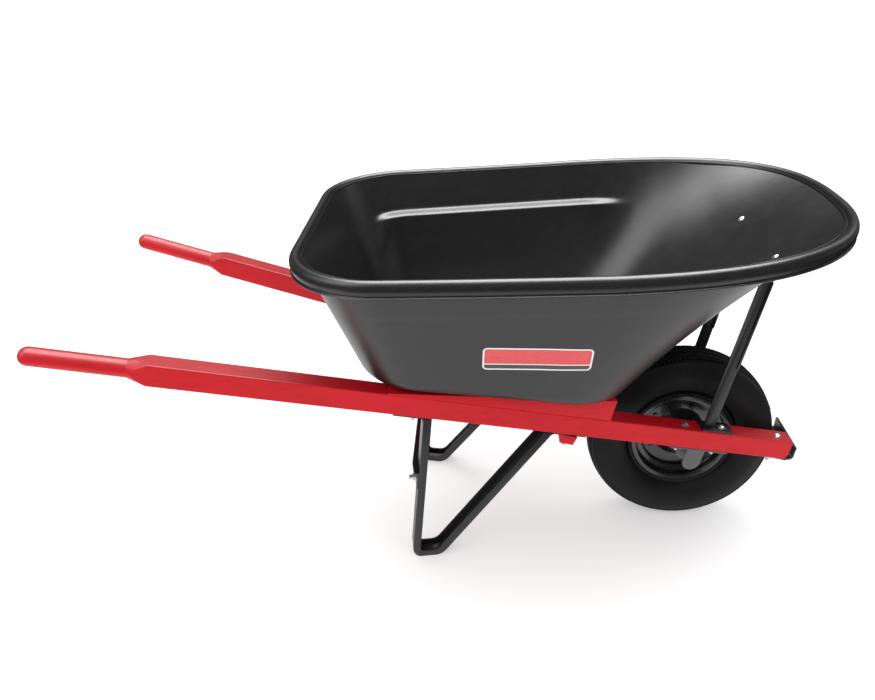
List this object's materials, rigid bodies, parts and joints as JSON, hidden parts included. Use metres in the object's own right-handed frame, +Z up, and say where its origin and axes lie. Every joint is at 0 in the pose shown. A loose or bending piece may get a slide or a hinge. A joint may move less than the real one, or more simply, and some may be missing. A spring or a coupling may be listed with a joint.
{
  "type": "wheelbarrow",
  "caption": "Single-wheel contractor wheelbarrow: a deep plastic tray on splayed wooden handles with steel legs, for carrying loose loads by hand.",
  "frame": {"origin": "middle of the object's length and width, on the floor", "axes": "+X towards the wheel's end, +Y to the pusher's left, +Z up"},
  "size_m": [1.501, 0.7197, 0.7489],
  "materials": {
    "black_plastic": "satin moulded",
    "red_paint": "painted",
    "black_steel": "satin powder coat",
    "bracket_steel": "matte grey",
    "zinc": "bright zinc",
    "tyre_rubber": "matte",
    "tube_rubber": "matte",
    "cap_plastic": "matte",
    "rim_paint": "gloss",
    "sticker": "gloss print"
  },
  "bodies": {
    "frame": {"tray": "black_plastic", "badge_right": "sticker", "badge_left": "sticker", "handle_right": "red_paint", "handle_left": "red_paint", "wedge_right": "red_paint", "wedge_left": "red_paint", "cross_member": "red_paint", "leg_right": "black_steel", "leg_left": "black_steel", "leg_brace": "black_steel", "tray_brace_right": "black_steel", "tray_brace_left": "black_steel", "nose_guard": "black_steel", "axle_bracket_right": "bracket_steel", "axle_bracket_left": "bracket_steel", "axle": "zinc", "axle_spacer_right": "zinc", "axle_spacer_left": "zinc", "floor_bolts": "zinc", "bracket_bolts": "zinc", "foot_bolts": "zinc", "nose_bolts": "zinc", "slope_bolts": "zinc", "leg_brace_bolts": "zinc", "frame_nuts": "zinc", "frame_washers": "zinc"},
    "wheel": {"tyre": "tyre_rubber", "inner_tube": "tube_rubber", "rim_right": "rim_paint", "rim_left": "rim_paint", "hub": "rim_paint", "bearing_right": "zinc", "bearing_left": "zinc", "grease_fitting": "zinc", "valve_stem": "tube_rubber", "valve_cap": "cap_plastic", "rim_bolts": "rim_paint", "rim_nuts": "rim_paint"}
  },
  "joints": [
    {"name": "wheel_spin", "type": "hinge", "parent": "frame", "child": "wheel", "pos_m": [0.50545, 0, 0.203], "axis": [0, 1, 0], "continuous": true}
  ]
}
